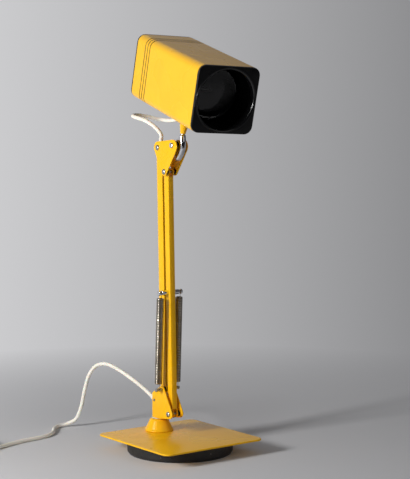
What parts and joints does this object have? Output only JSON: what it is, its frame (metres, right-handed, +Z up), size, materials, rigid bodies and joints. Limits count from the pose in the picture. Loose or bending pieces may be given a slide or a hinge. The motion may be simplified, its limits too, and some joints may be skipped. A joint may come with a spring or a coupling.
{
  "type": "tabletop searchlight lamp",
  "caption": "Tabletop lamp with a box-shaped tilting shade on a spring-balanced parallelogram arm, a square base plate over a round weight, and a mains cord.",
  "frame": {"origin": "middle of the base's underside, on the felt pad's lower face", "axes": "+Z up, +X forward, the way the shade points with the mast behind the base's middle"},
  "size_m": [0.4121, 0.4047, 0.6229],
  "materials": {
    "yellow_enamel": "smooth gloss stoved enamel, warm yellow",
    "iron": "black painted casting with a fine sandy grain",
    "felt": "pressed black felt",
    "nylon": "pale moulded nylon",
    "black_plastic": "black moulded plastic, satin",
    "zinc": "bright zinc plate",
    "chrome": "polished chrome plate",
    "spring_steel": "oiled drawn spring wire",
    "cord": "smooth ivory sheath",
    "plug": "ivory moulded plug",
    "porcelain": "glazed white ceramic",
    "bulb": "frosted face, silvered bowl",
    "brass": "plain turned brass"
  },
  "bodies": {
    "base": {"felt_pad": "felt", "base_weight": "iron", "base_plate": "yellow_enamel", "socket_bolt": "zinc", "mast_socket": "yellow_enamel", "mains_cord": "cord", "mains_cord_coil": "cord", "cord_tie": "black_plastic", "plug_body": "plug", "plug_pin_left": "brass", "plug_pin_right": "brass"},
    "mast": {"swivel_washer": "nylon", "swivel_pin": "zinc", "lower_bracket": "yellow_enamel", "lower_front_rivet": "zinc", "lower_rear_pin": "zinc", "lower_front_bush_left": "black_plastic", "lower_front_bush_right": "black_plastic", "lower_rear_bush_left": "black_plastic", "lower_rear_bush_right": "black_plastic", "cord_clamp": "black_plastic", "clamp_screw": "zinc", "strain_relief": "cord", "bracket_lead": "cord"},
    "front_arm": {"front_arm": "yellow_enamel", "spring_cross_pin": "chrome"},
    "rear_arm": {"rear_arm": "yellow_enamel", "arm_lead": "cord"},
    "top_bracket": {"top_cheek_left": "yellow_enamel", "top_cheek_right": "yellow_enamel", "top_front_rivet": "zinc", "top_rear_rivet": "zinc", "top_front_bush_left": "black_plastic", "top_front_bush_right": "black_plastic", "top_rear_bush_left": "black_plastic", "top_rear_bush_right": "black_plastic", "tilt_screw": "chrome", "tilt_nut": "chrome", "tilt_bush_left": "black_plastic", "tilt_bush_right": "black_plastic", "head_cord_return": "cord"},
    "knuckle": {"tilt_knuckle": "chrome", "swivel_stem": "zinc", "stem_nut": "zinc", "head_cord": "cord"},
    "head": {"head_shell": "yellow_enamel", "front_bezel": "black_plastic", "rear_cover": "black_plastic", "lamp_holder": "porcelain", "holder_bracket": "zinc", "bulb_glass": "bulb", "bulb_cap": "brass", "head_ferrule": "yellow_enamel", "cord_grommet": "black_plastic", "holder_lead": "cord"},
    "switch": {"switch_button": "black_plastic"},
    "springs": {"spring_left": "spring_steel", "spring_right": "spring_steel"},
    "spring_hooks": {"spring_hook_left": "spring_steel", "spring_hook_right": "spring_steel"}
  },
  "joints": [
    {"name": "base_swivel", "type": "hinge", "parent": "base", "child": "mast", "pos_m": [-0.0541, 0, 0.0443], "axis": [0, 0, 1], "range_deg": [-70, 70]},
    {"name": "arm_lean", "type": "hinge", "parent": "mast", "child": "front_arm", "pos_m": [-0.0157, 0, 0.0543], "axis": [0, 1, 0], "range_deg": [-3, 72]},
    {"name": "rear_arm_lean", "type": "hinge", "parent": "mast", "child": "rear_arm", "pos_m": [-0.0323, 0, 0.0899], "axis": [0, 1, 0], "range_deg": [-3, 72]},
    {"name": "top_bracket_level", "type": "hinge", "parent": "front_arm", "child": "top_bracket", "pos_m": [-0.02519, 0, 0.41898], "axis": [0, 1, 0], "range_deg": [-72, 3]},
    {"name": "head_tilt", "type": "hinge", "parent": "top_bracket", "child": "knuckle", "pos_m": [-0.00559, 0, 0.45888], "axis": [0, 1, 0], "range_deg": [-45, 50]},
    {"name": "head_turn", "type": "hinge", "parent": "knuckle", "child": "head", "pos_m": [0.00818, 0, 0.47646], "axis": [0.2324, 0, 0.9726], "range_deg": [-79, 79]},
    {"name": "switch_press", "type": "slide", "parent": "head", "child": "switch", "axis": [0.9554, -0.1872, -0.2283], "range_m": [0, 0.003], "stiffness_N_per_m": 300, "springref_m": -0.003},
    {"name": "spring_swing", "type": "hinge", "parent": "mast", "child": "springs", "pos_m": [-0.0323, 0, 0.0899], "axis": [0, 1, 0], "range_deg": [-3.3, 78.3]},
    {"name": "spring_stretch", "type": "slide", "parent": "springs", "child": "spring_hooks", "axis": [0.0448, 0, 0.999], "range_m": [-0.002, 0.0426], "deforming": ["spring_left", "spring_right", "spring_hook_left", "spring_hook_right"]}
  ],
  "couplings": [
    {"joint": "rear_arm_lean", "follows": "arm_lean", "ratio": 1},
    {"joint": "top_bracket_level", "follows": "arm_lean", "ratio": -1},
    {"joint": "spring_swing", "follows": "arm_lean", "ratio": 1.0857},
    {"joint": "spring_stretch", "follows": "arm_lean", "m_per_rad": 0.0338}
  ]
}
